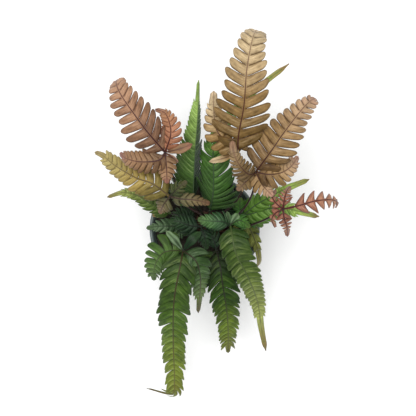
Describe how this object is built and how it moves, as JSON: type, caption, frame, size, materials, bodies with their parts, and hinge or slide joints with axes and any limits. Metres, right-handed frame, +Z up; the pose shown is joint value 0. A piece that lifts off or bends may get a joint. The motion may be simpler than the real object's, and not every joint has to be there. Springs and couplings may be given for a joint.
{
  "type": "potted tricolor brake fern",
  "caption": "Brake fern with long-stalked, lobed bronze, olive and green fronds, growing from a rhizome in a round tapered nursery pot of soil.",
  "frame": {"origin": "centre of the underside of the pot", "axes": "+Z up; +Y towards the tallest bronze frond, which is up in the picture; +X to the right in the picture"},
  "size_m": [0.2171, 0.3348, 0.2406],
  "materials": {
    "pot_plastic": "satin",
    "potting_mix": "matte",
    "rhizome_scales": "matte",
    "bronze_leaf": "satin",
    "red_leaf": "satin",
    "olive_leaf": "satin",
    "green_leaf": "satin",
    "shade_leaf": "satin"
  },
  "bodies": {
    "root": {"pot": "pot_plastic", "soil": "potting_mix", "rhizome": "rhizome_scales", "frond_bronze_tall": "bronze_leaf", "frond_bronze_right": "bronze_leaf", "frond_bronze_left": "bronze_leaf", "frond_red_young": "red_leaf", "frond_olive_left": "olive_leaf", "frond_olive_small": "olive_leaf", "frond_green_left": "green_leaf", "frond_green_up_left": "green_leaf", "frond_green_up_mid": "green_leaf", "frond_green_right": "green_leaf", "frond_green_low_right": "green_leaf", "frond_green_low_mid": "green_leaf", "frond_green_low_left": "green_leaf", "frond_shade_centre": "shade_leaf", "frond_shade_left": "shade_leaf", "frond_shade_right": "shade_leaf", "frond_shade_front": "shade_leaf"}
  },
  "joints": []
}
